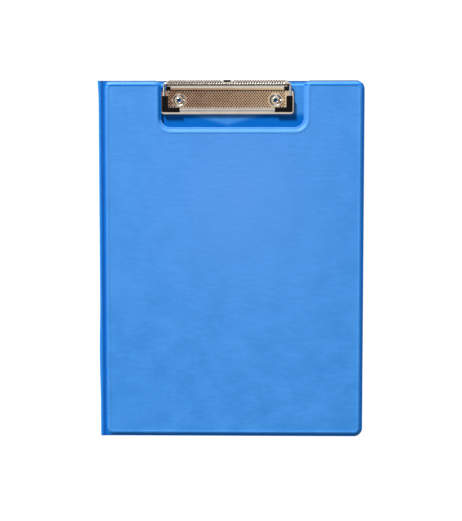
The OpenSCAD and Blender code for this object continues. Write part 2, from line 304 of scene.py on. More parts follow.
def shader_group(name, inputs, outputs):
    """Empty node group with sockets given as (name, kind), and its two end nodes."""
    group = bpy.data.node_groups.new(name, "ShaderNodeTree")
    for sockets, way in ((inputs, "INPUT"), (outputs, "OUTPUT")):
        for socket, kind in sockets:
            group.interface.new_socket(socket, in_out=way, socket_type="NodeSocket" + kind)
    return group, group.nodes.new("NodeGroupInput"), group.nodes.new("NodeGroupOutput")


def stretched(tree, coords, scale):
    """Coordinates drawn out by a scale for each axis."""
    node = tree.nodes.new("ShaderNodeMapping")
    node.inputs["Scale"].default_value = scale
    tree.links.new(coords, node.inputs["Vector"])
    return node.outputs["Vector"]


def calculate(tree, operation, first, second, clamp=False):
    """One sum on two values, each a number or a node's output."""
    node = tree.nodes.new("ShaderNodeMath")
    node.operation = operation
    node.use_clamp = clamp
    for slot, value in enumerate((first, second)):
        if isinstance(value, (int, float)):
            node.inputs[slot].default_value = value
        else:
            tree.links.new(value, node.inputs[slot])
    return node.outputs[0]


def spread(tree, value, low, high):
    """A value of 0 to 1 made to run from low to high."""
    node = tree.nodes.new("ShaderNodeMapRange")
    node.inputs["To Min"].default_value = low
    node.inputs["To Max"].default_value = high
    tree.links.new(value, node.inputs["Value"])
    return node.outputs["Result"]


def mix_colours(tree, mask, low, high):
    """Mixes two colours, each a plain colour or a node's output, along a mask."""
    node = tree.nodes.new("ShaderNodeMix")
    node.data_type = "RGBA"
    for side, colour in (("A", low), ("B", high)):
        if isinstance(colour, tuple):
            node.inputs[side].default_value = (*colour, 1)
        else:
            tree.links.new(colour, node.inputs[side])
    tree.links.new(mask, node.inputs["Factor"])
    return node.outputs["Result"]


# Satin vinyl with a fine leather grain, small wrinkles drawn along X and slow waves: every sheet of
# the folder has it. Cloud is a mask for colour patches.
grain, g_in, g_out = shader_group(
    "vinyl_grain",
    (("Coords", "Vector"), ("Pebble size", "Float"), ("Depth", "Float")),
    (("Cloud", "Float"), ("Gloss", "Float"), ("Normal", "Vector")),
)
pebbles = grain.nodes.new("ShaderNodeTexVoronoi")
pebbles.feature = "SMOOTH_F1"
pebbles.inputs["Smoothness"].default_value = 0.6
grain.links.new(g_in.outputs["Coords"], pebbles.inputs["Vector"])
grain.links.new(g_in.outputs["Pebble size"], pebbles.inputs["Scale"])
pores = noise(grain, g_in.outputs["Coords"], 2600, 3, 0.6)
waves = noise(grain, g_in.outputs["Coords"], 22, 3, 0.55)
patches = noise(grain, g_in.outputs["Coords"], 46, 6, 0.62)
wrinkles = noise(grain, stretched(grain, g_in.outputs["Coords"], (110, 330, 220)), 1, 4, 0.6)
leather = calculate(grain, "ADD", calculate(grain, "MULTIPLY", pores, 0.5), pebbles.outputs["Distance"])
fine = bump(grain, leather, 0.06 * mm)
grain.links.new(g_in.outputs["Depth"], fine.node.inputs["Strength"])
wrinkled = bump(grain, wrinkles, 0.16 * mm, normal=fine)
waved = bump(grain, waves, 0.6 * mm, strength=0.7, normal=wrinkled)
cloud = calculate(grain, "ADD", calculate(grain, "MULTIPLY", wrinkles, 0.35), patches)
grain.links.new(cloud, g_out.inputs["Cloud"])
grain.links.new(spread(grain, pores, 0.48, 0.60), g_out.inputs["Gloss"])
grain.links.new(waved, g_out.inputs["Normal"])


def vinyl(name, low, high, painted_shading, fade, shine=0.36, sheen_colour=None):
    """Vinyl in two near colours. The fourth colour is painted light, met as fade runs from 1 down to 0, where
    the shine drops too:
    a painted shade on most sheets, a painted lit colour on the spine. The last colour, if given, is a painted
    sheen on the middle of the sheet."""
    mat, tree, shader, coord = start_material(name)
    group = tree.nodes.new("ShaderNodeGroup")
    group.node_tree = grain
    group.inputs["Pebble size"].default_value = 1300
    group.inputs["Depth"].default_value = 0.35
    tree.links.new(coord.outputs["Object"], group.inputs["Coords"])
    colour = two_colours(tree, group.outputs["Cloud"], low, high, 0.52, 0.83)
    # painted sheen: a round paler patch on the middle of the sheet
    if sheen_colour:
        place = tree.nodes.new("ShaderNodeMapping")
        place.vector_type = "TEXTURE"
        place.inputs["Location"].default_value = (8 * mm, 58 * mm, 0)
        place.inputs["Scale"].default_value = (215 * mm, 240 * mm, 1)
        tree.links.new(coord.outputs["Object"], place.inputs["Vector"])
        sheen_patch = tree.nodes.new("ShaderNodeTexGradient")
        sheen_patch.gradient_type = "QUADRATIC_SPHERE"
        tree.links.new(place.outputs["Vector"], sheen_patch.inputs["Vector"])
        colour = mix_colours(tree, sheen_patch.outputs["Fac"], colour, sheen_colour)
    mask = fade(tree, coord.outputs["Object"])
    tree.links.new(mix_colours(tree, mask, painted_shading, colour), shader.inputs["Base Color"])
    tree.links.new(group.outputs["Gloss"], shader.inputs["Roughness"])
    tree.links.new(group.outputs["Normal"], shader.inputs["Normal"])
    shader.inputs["Specular IOR Level"].default_value = shine
    # the shine drops where the painted light is laid
    tree.links.new(spread(tree, mask, 0.04, shine), shader.inputs["Specular IOR Level"])
    return mat


def ramp_between(tree, value, start, end):
    """0 to 1, softly, as a value goes from start to end."""
    node = tree.nodes.new("ShaderNodeMapRange")
    node.interpolation_type = "SMOOTHSTEP"
    node.inputs["From Min"].default_value = start
    node.inputs["From Max"].default_value = end
    tree.links.new(value, node.inputs["Value"])
    return node.outputs["Result"]


def ramp_along(tree, coords, axis, start, end):
    """0 to 1 between two places along an axis, given in mm."""
    split = tree.nodes.new("ShaderNodeSeparateXYZ")
    tree.links.new(coords, split.inputs[0])
    return ramp_between(tree, split.outputs[axis], start * mm, end * mm)


# the face's two blues, and a darker blue that is painted shade
face_low, face_high, shade_blue = (0.030, 0.213, 0.585), (0.045, 0.249, 0.655), (0.002, 0.13, 0.50)
edge_x, edge_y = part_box("cover_outer_skin")[1][0] / mm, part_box("cover_outer_skin")[0][1] / mm
notch_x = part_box("grip_left")[0][0] / mm - 0.5
# Painted shade: each band is painted dark where all of its ramps are 0: the groove at the spine, the right
# and lower borders, the groove along the top, and the steep face left of the clip, on the cover only. These
# are slopes and grooves turned away from the light.
dark_bands = (
    (("X", -111.5, -109.8),),
    (("X", edge_x - 0.8, edge_x - 4.2),),
    (("Y", edge_y + 0.8, edge_y + 4.8),),
    (("Y", 154.5, 155.7), ("Y", 154.5, 153.3)),
    (
        ("X", notch_x - 1.9, notch_x - 3.2), ("X", notch_x + 4, notch_x + 8),
        ("Y", 125.5, 122), ("Y", 153.6, 155.2), ("Z", 4.4, 4.0),
    ),
)


def away_from_borders(tree, coords):
    """1 on the face, 0 in the bands of painted shade."""
    whole = 1.0
    for band in dark_bands:
        mask = 0.0
        for axis, start, end in band:
            mask = calculate(tree, "ADD", mask, ramp_along(tree, coords, axis, start, end), clamp=True)
        whole = calculate(tree, "MULTIPLY", whole, mask)
    return whole


# blue vinyl with painted shade in the bands and a painted sheen on the middle of each sheet
blue_vinyl = vinyl("blue_vinyl", face_low, face_high, shade_blue, away_from_borders, sheen_colour=(0.068, 0.252, 0.66))


def clip_shadow(tree, coords):
    """Painted shadow of the clip: 0 below the clip, 1 above the shadow's V-shaped edge, and rising softly
    again down the page.
    """
    split = tree.nodes.new("ShaderNodeSeparateXYZ")
    tree.links.new(coords, split.inputs[0])
    from_clip = calculate(tree, "ABSOLUTE", calculate(tree, "SUBTRACT", split.outputs["X"], clip_x), 0)
    v_edge = calculate(tree, "MINIMUM", calculate(tree, "MULTIPLY", from_clip, 0.28), 9 * mm)
    past_edge = calculate(tree, "SUBTRACT", split.outputs["Y"], v_edge)
    above = ramp_between(tree, past_edge, 117.6 * mm, 122.6 * mm)
    return calculate(tree, "MAXIMUM", above, ramp_along(tree, coords, "Y", 106, 20))


plate_low, plate_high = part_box("clip_plate")
clip_x = (plate_low[0] + plate_high[0]) / 2
# the back's inner skin, with a painted shadow of the clip below it
under_clip = vinyl(
    "vinyl_under_clip", (0.024, 0.20, 0.57), (0.036, 0.225, 0.62), (0.001, 0.115, 0.46), clip_shadow, 0.3
)
# painted shade along the skins' outer edges where they turn down, darkest along the top
edge_shade_vinyl = vinyl(
    "vinyl_edge_shade", shade_blue, (0.001, 0.08, 0.34), (0.002, 0.02, 0.09),
    lambda tree, at: ramp_along(tree, at, "Y", 156, 150), 0.06,
)


def darken_edge(piece, middle_z, up):
    """Painted shade on the cut edge of the weld, where the sheet turns down and away from the light."""
    piece.data.materials.append(edge_shade_vinyl)
    edge_z = middle_z + up * (half_weld - 0.2 * mm)
    for face in piece.data.polygons:
        at = face.center
        border = abs(at.y) > 157.6 * mm or at.x > 114.5 * mm
        if border and abs(at.z - edge_z) < 0.235 * mm:
            face.material_index = 1


for piece, node, mat in (
    (back_liner, "back_inner_skin", under_clip), (back_skin, "back_outer_skin", blue_vinyl)
):
    piece.data.materials.append(mat)
    darken_edge(piece, back_mid, 1 if piece == back_liner else -1)
    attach(piece, "back_panel")
    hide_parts(node)

# ---- Cover ----
# The front cover is welded the same way round its own board, with a notch that leaves the clip
# clear. Its border goes on under the spine's loop at the left.
cover_field = (c_low[0], c_high[0], c_low[1], c_high[1])
cover_mid = (c_low[2] + c_high[2]) / 2
notch_edges = (notch_x * mm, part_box("grip_right")[1][0] + 9.8 * mm, plate_low[1] - 11 * mm)
cover_top, cover_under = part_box("cover_outer_skin")[1][2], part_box("cover_inner_skin")[0][2]
cover_skin = welded_skin(
    "cover_skin", cover_field, cover_mid, cover_top, 0.24 * mm, cover_profile, notch_edges
)
cover_liner = welded_skin(
    "cover_liner", cover_field, cover_mid, cover_under, -0.05 * mm, cover_profile, notch_edges
)
for piece, node in ((cover_skin, "cover_outer_skin"), (cover_liner, "cover_inner_skin")):
    piece.data.materials.append(blue_vinyl)
    darken_edge(piece, cover_mid, 1 if piece == cover_skin else -1)
    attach(piece, "cover")
    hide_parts(node)

# ---- Spine ----
# Between the two welds the doubled vinyl bulges out in a soft loop, higher than it is wide. It is
# one sheet on the real folder; here its lower and upper halves meet half way up the spine.
s_low, s_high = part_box("spine_outer_skin")
left = s_low[0]
half_z = (s_low[2] + s_high[2]) / 2
end_y = s_high[1]
low_bulge_y = -84 * mm


def spine_half(name, path):
    """A strip along the spine, one face thick: path is its outer face as (x, z) points."""
    clear_selection()
    bpy.ops.mesh.primitive_plane_add(size=1, location=(0, 0, 0))
    strip = bpy.context.object
    strip.name = strip.data.name = name
    bpy.ops.object.mode_set(mode="EDIT")
    pick(strip, "VERT", lambda v: v.co.x > 0)
    bpy.ops.mesh.delete(type="VERT")
    bpy.ops.mesh.select_all(action="SELECT")
    bpy.ops.transform.resize(value=(1, 2 * end_y, 1))
    bpy.ops.transform.translate(value=(path[0][0] + 0.5, 0, path[0][1]))
    bpy.ops.mesh.subdivide(number_cuts=63)
    for (xa, za), (xb, zb) in zip(path, path[1:]):
        bpy.ops.mesh.extrude_edges_move(TRANSFORM_OT_translate={"value": (xb - xa, 0, zb - za)})
    bpy.ops.object.mode_set(mode="OBJECT")
    return strip


groove_x = c_low[0] - 1.2 * mm
upper_path = [(left, half_z)]
for step in ((0.02, 3.9), (0.10, 4.6), (0.28, 5.2), (0.58, 5.65), (1.0, 5.93), (1.5, 6.03), (2.0, 5.98),
             (2.5, 5.84), (3.0, 5.66), (3.5, 5.48), (3.95, 5.32), (4.35, 5.19), (4.6, 5.13)):
    upper_path.append((left + step[0] * mm, step[1] * mm))
scale_to_groove = (groove_x - left) / (4.6 * mm)
upper_path = [(left + (x - left) * (scale_to_groove if x - left > 1.4 * mm else 1), z) for x, z in upper_path]
spine_upper = spine_half("spine_loop_upper", upper_path)
lower_path = [(left, half_z)]
for step in ((0.02, 2.3), (0.10, 1.6), (0.28, 1.0), (0.58, 0.55), (1.0, 0.25), (1.5, 0.16), (2.0, 0.2),
             (2.5, 0.36), (2.9, 0.6), (3.2, 0.9)):
    lower_path.append((left + step[0] * mm, step[1] * mm))
spine_lower = spine_half("spine_loop_lower", lower_path)
for strip in (spine_upper, spine_lower):
    clear_selection()
    strip.select_set(True)
    bpy.context.view_layer.objects.active = strip
    bpy.ops.object.mode_set(mode="EDIT")
    # the loop stands out a little at its top end, where nothing holds it, and low down the spine
    for reach, move in ((2.5, 0.28), (5.2, 0.22), (7.8, 0.16), (10.2, 0.10), (13, 0.06)):
        pick(strip, "VERT", lambda v: v.co.y > end_y - reach * mm and v.co.x < left + 0.9 * mm)
        bpy.ops.transform.translate(value=(-move * mm, 0, 0))
    for reach, move in ((38, 0.12), (31, 0.14), (24, 0.16), (16, 0.14), (9, 0.1)):
        pick(strip, "VERT", lambda v: abs(v.co.y - low_bulge_y) < reach * mm and v.co.x < left + 0.9 * mm)
        bpy.ops.transform.translate(value=(-move * mm, 0, 0))
    bpy.ops.object.mode_set(mode="OBJECT")
    middle_face = min(strip.data.polygons, key=lambda f: f.center.x)
    if middle_face.normal.x > 0:
        strip.data.flip_normals()
    apply_modifier(strip, "SUBSURF", levels=1, render_levels=1)
    apply_modifier(strip, "SOLIDIFY", thickness=0.7 * mm, offset=-1.0, use_even_offset=True, use_rim=True)
    close_up(strip)
# painted light on the spine: the strips are dark blue as painted shade in the groove, and lighter along the
# loop's lit outer side
spine_vinyl = vinyl(
    "spine_vinyl", (0.001, 0.10, 0.46), (0.002, 0.115, 0.50), (0.022, 0.20, 0.58),
    lambda tree, at: ramp_along(tree, at, "X", left / mm + 1.3, left / mm + 3.4), 0.3,
)
for strip in (spine_upper, spine_lower):
    strip.data.materials.append(spine_vinyl)
    strip.data.materials.append(edge_shade_vinyl)
    # the strips' top ends take the painted edge shade
    for face in strip.data.polygons:
        face.material_index = 1 if face.center.y > 158.0 * mm else 0
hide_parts("spine_outer_skin")
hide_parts("spine_inner_skin")
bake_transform(spine_upper)
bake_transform(spine_lower)

# ---- Pocket ----
# A clear film welded inside the cover on three sides makes a pocket for loose sheets.
p_low, p_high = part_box("cover_pocket")
pocket = outline_sheet(
    "pocket_film", p_low[0], p_high[0], p_low[1], p_high[1], p_low[2] + 0.05 * mm, 4 * mm, 4 * mm
)
bpy.ops.object.mode_set(mode="EDIT")
pick(pocket, "FACE", lambda f: True)
for d, z in ((1.0, -0.02), (0.4, 0.06), (0.4, -0.06), (1.0, 0.0)):
    bpy.ops.mesh.inset(thickness=d * mm, depth=z * mm, use_even_offset=True)
bpy.ops.object.mode_set(mode="OBJECT")
apply_modifier(pocket, "SOLIDIFY", thickness=0.15 * mm, offset=1.0)
close_up(pocket)
film, tree, shader, coord = start_material("pocket_film")
cloud = noise(tree, coord.outputs["Object"], 60, 3, 0.6)
tree.links.new(two_colours(tree, cloud, (0.30, 0.50, 0.82), (0.42, 0.60, 0.88)), shader.inputs["Base Color"])
tree.links.new(bump(tree, cloud, 0.0008, strength=0.5), shader.inputs["Normal"])
shader.inputs["Roughness"].default_value = 0.18
shader.inputs["Alpha"].default_value = 0.35
pocket.data.materials.append(film)
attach(pocket, "cover")
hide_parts("cover_pocket")

# ---- Clip plate ----
# One nickel-plated steel sheet: a flat plate with two ears, a knurled pad pressed up in its middle,
# and its back edge rolled round into a tube and folded down again in a flange.
sheet_z = 2.8 * mm
half_plate = (plate_high[0] - plate_low[0]) / 2
half_tube = half_plate - 6.3 * mm
tube_y = plate_high[1] - 2.0 * mm
tube_z = plate_high[2] - 2.5 * mm
flange_y = tube_y - 6.6 * mm
plate_top = sheet_z + 0.6 * mm
plate = outline_sheet(
    "clip_plate_knurled", plate_low[0] + mm, plate_high[0] - mm, plate_low[1] + 0.7 * mm, flange_y,
    plate_top, 2.6 * mm, 2.6 * mm,
)
pad_half = half_tube - 0.9 * mm
pad_y0, pad_y1 = plate_low[1] + 6.6 * mm, flange_y - 0.5 * mm
bpy.ops.object.mode_set(mode="EDIT")
bpy.ops.mesh.select_all(action="SELECT")
bpy.ops.mesh.bisect(plane_co=(0, pad_y0, 0), plane_no=(0, 1, 0))
pick(plate, "VERT", lambda v: v.co.y < pad_y0 - 0.01 * mm)
bpy.ops.transform.rotate(value=radians(-3), orient_axis="X", center_override=(0, pad_y0, plate_top))
pick(plate, "EDGE", lambda e: len(e.link_faces) < 2)
bpy.ops.mesh.extrude_edges_move(TRANSFORM_OT_translate={"value": (0, 0, -0.12 * mm)})
plate_middle = (clip_x, (plate_low[1] + flange_y) / 2, sheet_z)
bpy.ops.transform.resize(value=(1.002, 1.012, 1), center_override=plate_middle)
bpy.ops.object.mode_set(mode="OBJECT")
if plate.data.polygons[0].normal.z < 0:
    plate.data.flip_normals()
apply_modifier(plate, "SOLIDIFY", thickness=0.3 * mm, offset=-1.0)

rivet_at = [((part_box(n)[0][0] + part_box(n)[1][0]) / 2, (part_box(n)[0][1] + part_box(n)[1][1]) / 2)
            for n in ("rivet_left", "rivet_right")]
for x, y in rivet_at:
    clear_selection()
    bpy.ops.mesh.primitive_cylinder_add(vertices=32, radius=1.9 * mm, depth=4 * mm, location=(x, y, sheet_z))
    punch = bpy.context.object
    apply_modifier(plate, "BOOLEAN", operation="DIFFERENCE", object=punch, solver="EXACT")
    clear_selection()
    punch.select_set(True)
    bpy.ops.object.delete()

# painted shade below the ends of the tube, where the springs' legs come out: the neck of the sheet is a dark
# steel strip
clear_selection()
neck_middle = (clip_x, (flange_y + tube_y) / 2 - 0.3 * mm, sheet_z + 0.34 * mm)
bpy.ops.mesh.primitive_cube_add(size=1, location=neck_middle)
neck_shade = bpy.context.object
neck_shade.scale = (2 * half_tube + 1.8 * mm, tube_y - flange_y + 0.6 * mm, 0.6 * mm)
make_shape_real(neck_shade)

# the raised pad, open round the rivets
clear_selection()
bpy.ops.mesh.primitive_grid_add(
    x_subdivisions=92, y_subdivisions=12, size=1, location=(clip_x, (pad_y0 + pad_y1) / 2, sheet_z + 1.2 * mm)
)
pad = bpy.context.object
pad.scale = (2 * pad_half, pad_y1 - pad_y0, 1)
make_shape_real(pad)


def near_rivet(co, radius):
    return any((co.x - x) ** 2 + (co.y - y) ** 2 < radius ** 2 for x, y in rivet_at)


bpy.ops.object.mode_set(mode="EDIT")
pick(pad, "EDGE", lambda e: len(e.link_faces) < 2)
for drop, grow in ((0.05, 0.12), (0.12, 0.1), (0.5, 0.12)):
    bpy.ops.mesh.extrude_edges_move(TRANSFORM_OT_translate={"value": (0, 0, -drop * mm)})
    bpy.ops.transform.resize(
        value=(1 + grow * mm / pad_half, 1 + 2 * grow * mm / (pad_y1 - pad_y0), 1),
        center_override=(clip_x, (pad_y0 + pad_y1) / 2, sheet_z),
    )
pick(pad, "FACE", lambda f: near_rivet(middle(f), 5.3 * mm))
bpy.ops.mesh.delete(type="FACE")
bpy.ops.object.mode_set(mode="OBJECT")
apply_modifier(pad, "SOLIDIFY", thickness=0.4 * mm, offset=-1.0)

# the tube and flange: a line across the clip, carried round the roll and down to the flange's edge
clear_selection()
bpy.ops.mesh.primitive_grid_add(x_subdivisions=34, y_subdivisions=1, size=1, location=(clip_x, 0, 0))
roll = bpy.context.object
roll.scale = (2 * half_tube, 1, 1)
make_shape_real(roll)
bpy.ops.object.mode_set(mode="EDIT")
pick(roll, "VERT", lambda v: v.co.y > 0)
bpy.ops.mesh.delete(type="VERT")
bpy.ops.mesh.select_all(action="SELECT")
path = [(-2.2, -2.45)] + [(2.5 * sin(radians(t)), -2.5 * cos(radians(t))) for t in range(0, 266, 12)]
path += [(-2.48, -0.45), (-2.53, -0.66), (-2.68, -0.78), (-3.1, -0.91), (-3.6, -1.06), (-4.0, -1.16),
         (-4.5, -1.19), (-5.2, -1.18), (-6.1, -1.15), (-6.5, -1.18), (-6.6, -1.4)]
bpy.ops.transform.translate(value=(0, tube_y + path[0][0] * mm + 0.5, tube_z + path[0][1] * mm))
for (ya, za), (yb, zb) in zip(path, path[1:]):
    bpy.ops.mesh.extrude_edges_move(TRANSFORM_OT_translate={"value": (0, (yb - ya) * mm, (zb - za) * mm)})
bpy.ops.mesh.select_all(action="SELECT")
bpy.ops.mesh.normals_make_consistent(inside=False)
if max(bmesh.from_edit_mesh(roll.data).faces, key=lambda f: middle(f).z).normal.z < 0:
    bpy.ops.mesh.flip_normals()


def in_relief_notch(f):
    """The notches at the ends of the flange."""
    return abs(middle(f).x - clip_x) > half_tube - 3 * mm and -6.2 * mm < middle(f).y - tube_y < -3.3 * mm


def in_hang_slot(f):
    """The slot in the tube that the board hangs by."""
    at = middle(f)
    return abs(at.x - clip_x) < 3.1 * mm and at.y - tube_y > 0.6 * mm and at.z > tube_z


for opening in (in_relief_notch, in_hang_slot):
    pick(roll, "FACE", opening)
    bpy.ops.mesh.delete(type="FACE")
bpy.ops.object.mode_set(mode="OBJECT")

# the sunk ring round each rivet
dimples = []
for x, y in rivet_at:
    clear_selection()
    bpy.ops.mesh.primitive_circle_add(vertices=48, radius=2.05 * mm, location=(x, y, sheet_z + 0.7 * mm))
    ring = bpy.context.object
    make_shape_real(ring)
    bpy.ops.object.mode_set(mode="EDIT")
    bpy.ops.mesh.select_all(action="SELECT")
    last_r, last_h = 2.05, 0.7
    for r, h in ((3.6, 0.72), (4.1, 0.82), (4.5, 1.0), (4.85, 1.18), (5.2, 1.27), (5.6, 1.24), (6.0, 1.0)):
        bpy.ops.mesh.extrude_edges_move(TRANSFORM_OT_translate={"value": (0, 0, (h - last_h) * mm)})
        bpy.ops.transform.resize(value=(r / last_r, r / last_r, 1), center_override=(x, y, sheet_z))
        last_r, last_h = r, h
    bpy.ops.mesh.select_all(action="SELECT")
    bpy.ops.mesh.normals_make_consistent(inside=False)
    bpy.ops.object.mode_set(mode="OBJECT")
    if ring.data.polygons[0].normal.z < 0:
        ring.data.flip_normals()
    apply_modifier(ring, "SOLIDIFY", thickness=0.4 * mm, offset=-1.0)
    dimples.append(ring)

# the knurl: raised diamonds in rows along X, every other row moved half a step; ten rows lie on the
# pad, and five round the tube, each turned to stand out from it
diamonds = []
knurl_step, row_step, knurl_r = 2.28 * mm, 1.42 * mm, 2.58 * mm
rows = [(pad_y0 + 0.72 * mm + row_step * j, sheet_z + 1.34 * mm, 0) for j in range(10)]
for turn in (-72, -39, -6, 27, 60):
    rows.append((tube_y - knurl_r * sin(radians(turn)), tube_z + knurl_r * cos(radians(turn)), turn))


def off_knurl(v):
    """The rivets' rings and the hang slot have no diamonds."""
    return near_rivet(v.co, 5.7 * mm) or (abs(v.co.x - clip_x) < 5.2 * mm and v.co.y > tube_y + 0.4 * mm)


for k, (y, z, turned) in enumerate(rows):
    clear_selection()
    bpy.ops.mesh.primitive_cone_add(
        vertices=4, radius1=0.99 * mm, radius2=0.25 * mm, depth=0.36 * mm, end_fill_type="NGON",
        location=(clip_x - pad_half + 1.1 * mm + knurl_step / 2 * (k % 2), y, z),
        rotation=(radians(turned), 0, 0),
    )
    dot = bpy.context.object
    make_shape_real(dot)
    apply_modifier(dot, "ARRAY", count=45, use_relative_offset=False, use_constant_offset=True,
                   constant_offset_displace=(knurl_step, 0, 0))
    bpy.ops.object.mode_set(mode="EDIT")
    pick(dot, "VERT", off_knurl)
    bpy.ops.mesh.select_linked()
    bpy.ops.mesh.delete(type="VERT")
    bpy.ops.object.mode_set(mode="OBJECT")
    diamonds.append(dot)

# Nickel plate: smooth, with faint rubbed patches and fine drawing lines along the sheet.
wear, w_in, w_out = shader_group(
    "plating_wear", (("Coords", "Vector"),), (("Patch", "Float"), ("Lines", "Float"))
)
wear.links.new(noise(wear, w_in.outputs["Coords"], 90, 4, 0.6), w_out.inputs["Patch"])
drawn = stretched(wear, w_in.outputs["Coords"], (60, 4000, 4000))
wear.links.new(noise(wear, drawn, 1, 2, 0.6), w_out.inputs["Lines"])


def nickel(name, low, high, rough_low, rough_high):
    """Nickel plate between two near colours and two roughnesses."""
    mat, tree, shader, coord = start_material(name)
    group = tree.nodes.new("ShaderNodeGroup")
    group.node_tree = wear
    tree.links.new(coord.outputs["Object"], group.inputs["Coords"])
    tree.links.new(two_colours(tree, group.outputs["Patch"], low, high), shader.inputs["Base Color"])
    tree.links.new(spread(tree, group.outputs["Patch"], rough_low, rough_high), shader.inputs["Roughness"])
    tree.links.new(bump(tree, group.outputs["Lines"], 0.00001), shader.inputs["Normal"])
    shader.inputs["Metallic"].default_value = 1.0
    return mat


nickel_sheet = nickel("nickel_sheet", (0.76, 0.70, 0.62), (0.86, 0.81, 0.74), 0.12, 0.2)
# Dark oiled steel for the springs; the same material is painted shade on the clip's neck, the roll's inside
# and its edges.
dark_steel_and_shade, tree, shader, coord = start_material("spring_wire")
oil = noise(tree, coord.outputs["Object"], 700, 3, 0.6)
steel_and_shade_colour = two_colours(tree, oil, (0.010, 0.010, 0.012), (0.045, 0.045, 0.05))
tree.links.new(steel_and_shade_colour, shader.inputs["Base Color"])
shader.inputs["Metallic"].default_value = 1.0
shader.inputs["Roughness"].default_value = 0.35
# painted shade and reflection: the knurl's dark brown stands for the shade and dark reflections between its
# raised diamonds
knurl_shade_metal = nickel("nickel_knurl_shade", (0.035, 0.012, 0.006), (0.06, 0.025, 0.014), 0.32, 0.44)
clip_parts = (plate, neck_shade, pad, roll, *dimples, *diamonds)
# the pad's diamonds and two of the tube's rows take the painted shade; the tube's other rows stay plain
# nickel
shaded_rows = diamonds[:10] + diamonds[11:13]
for piece in clip_parts:
    piece.data.materials.append(
        dark_steel_and_shade if piece == neck_shade else knurl_shade_metal if piece in shaded_rows else nickel_sheet
    )
# painted shade: dark steel on the flange's folded edge, on the roll's inside and on the rims of its openings
roll.data.materials.append(dark_steel_and_shade)
for face in roll.data.polygons:
    face.material_index = 1 if face.center.y < tube_y - 6.05 * mm else 0
apply_modifier(roll, "SOLIDIFY", thickness=0.5 * mm, offset=-1.0, material_offset=1, material_offset_rim=1)
clear_selection()
for piece in clip_parts:
    piece.select_set(True)
bpy.context.view_layer.objects.active = plate
bpy.ops.object.join()
bpy.ops.object.shade_smooth_by_angle(angle=radians(32))
apply_modifier(plate, "WEIGHTED_NORMAL", keep_sharp=True)
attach(plate, "back_panel")
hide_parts("clip_plate")

# ---- Rivets ----
# Two semi-tubular rivets: a flat head pressed into the back, and a hollow end rolled over the plate.
nickel_bright = nickel("nickel_bright", (0.74, 0.72, 0.68), (0.86, 0.84, 0.80), 0.10, 0.20)
# painted shade: the rivet's bore is near-black, the shade inside its hollow end
bore_mat, tree, shader, coord = start_material("rivet_bore")
bore_shade_noise = noise(tree, coord.outputs["Object"], 1500, 2, 0.5)
bore_shade = two_colours(tree, bore_shade_noise, (0.002, 0.006, 0.007), (0.006, 0.014, 0.017))
tree.links.new(bore_shade, shader.inputs["Base Color"])
shader.inputs["Roughness"].default_value = 0.6
shader.inputs["Specular IOR Level"].default_value = 0.2
# the rivet's section as (radius, height) in mm, from the rim of its head round to the bottom of its bore
section = (
    (3.9, 0.0), (4.3, 0.06), (4.45, 0.2), (4.35, 0.36), (2.0, 0.4), (2.0, 3.44), (2.45, 3.5), (2.66, 3.66),
    (2.68, 3.88), (2.5, 4.08), (2.15, 4.18), (1.8, 4.08), (1.55, 3.85), (1.45, 3.4), (1.42, 2.5),
)
for (x, y), node in zip(rivet_at, ("rivet_left", "rivet_right")):
    clear_selection()
    bpy.ops.mesh.primitive_circle_add(
        vertices=48, radius=section[0][0] * mm, location=(x, y, 0), fill_type="NGON"
    )
    rivet = bpy.context.object
    rivet.name = rivet.data.name = node + "_rolled"
    make_shape_real(rivet)
    bpy.ops.object.mode_set(mode="EDIT")
    pick(rivet, "EDGE", lambda e: True)
    for (ra, za), (rb, zb) in zip(section, section[1:]):
        bpy.ops.mesh.extrude_edges_move(TRANSFORM_OT_translate={"value": (0, 0, (zb - za) * mm)})
        bpy.ops.transform.resize(value=(rb / ra, rb / ra, 1), center_override=(x, y, 0))
    bpy.ops.mesh.edge_face_add()
    bpy.ops.object.mode_set(mode="OBJECT")
    close_up(rivet, 50)
    rivet.data.materials.append(nickel_bright)
    rivet.data.materials.append(bore_mat)
    # the faces inside the bore take the painted shade
    for face in rivet.data.polygons:
        inside = (face.center.x - x) ** 2 + (face.center.y - y) ** 2 < (1.52 * mm) ** 2
        face.material_index = 1 if inside and face.center.z > 2 * mm else 0
    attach(rivet, "back_panel")
    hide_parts(node)

# ---- Torsion springs ----
# Closed-coil steel springs round the wire's ends inside the tube; oiled, dark spring wire.
paint_node("torsion_spring_left", dark_steel_and_shade)
paint_node("torsion_spring_right", dark_steel_and_shade)

# ---- Bail ----
# A bent nickel-plated wire: its ends turn in the tube, its legs come round the plate's ends and its
# lower run presses the sheets on the plate.
paint_node("clamp_wire", nickel_bright)

